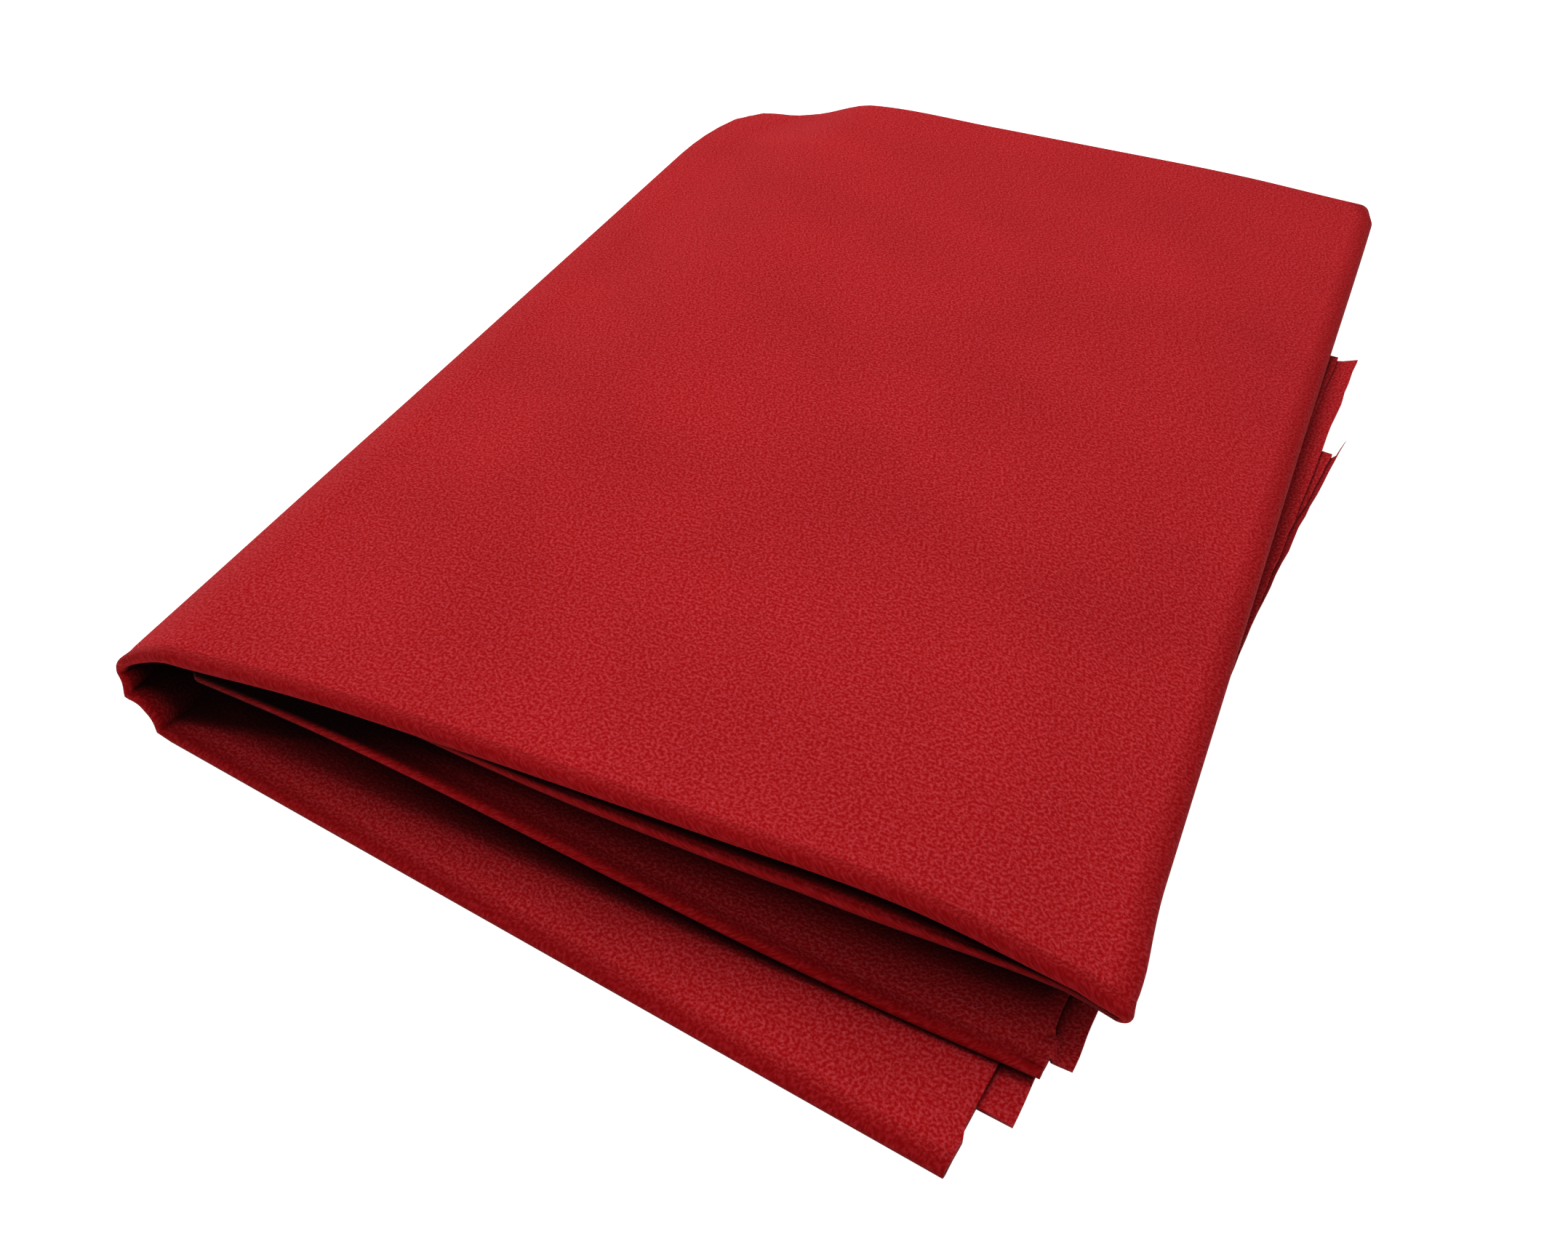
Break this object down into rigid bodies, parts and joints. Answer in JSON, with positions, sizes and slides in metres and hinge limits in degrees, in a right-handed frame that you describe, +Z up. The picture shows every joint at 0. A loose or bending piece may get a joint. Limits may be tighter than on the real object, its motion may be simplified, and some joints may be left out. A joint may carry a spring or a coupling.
{
  "type": "folded cloth bundle",
  "caption": "Cut of thick brushed cloth folded into a flat bundle of stacked two-ply leaves, with a hollow left fold that opens like a book cover.",
  "frame": {"origin": "centre of the bundle's footprint, on the surface that it lies on", "axes": "+Y along the long side of the leaves, away from the rolled near edges; +X from the hollow left fold towards the right fold; +Z up"},
  "size_m": [0.2734, 0.418, 0.0273],
  "materials": {
    "red_brushed_wool": "brushed, matt, short nap over a fine crepe weave"
  },
  "bodies": {
    "bottom": {"bottom_leaf_lower_ply": "red_brushed_wool", "bottom_leaf_upper_ply": "red_brushed_wool", "bottom_leaf_near_fold": "red_brushed_wool", "left_fold_lower": "red_brushed_wool"},
    "cover": {"left_fold_upper": "red_brushed_wool", "top_leaf_upper_ply": "red_brushed_wool", "top_leaf_lower_ply": "red_brushed_wool", "top_leaf_near_fold": "red_brushed_wool", "right_fold": "red_brushed_wool", "second_leaf_upper_ply": "red_brushed_wool", "second_leaf_lower_ply": "red_brushed_wool", "second_leaf_near_fold": "red_brushed_wool", "inner_fold": "red_brushed_wool", "middle_leaf_upper_ply": "red_brushed_wool", "middle_leaf_lower_ply": "red_brushed_wool", "middle_leaf_near_fold": "red_brushed_wool"}
  },
  "joints": [
    {"name": "left_fold_open", "type": "hinge", "parent": "bottom", "child": "cover", "pos_m": [-0.1247, -0.17298, 0.0125], "axis": [0.0352, -0.999, 0.0286], "range_deg": [0, 168]}
  ]
}
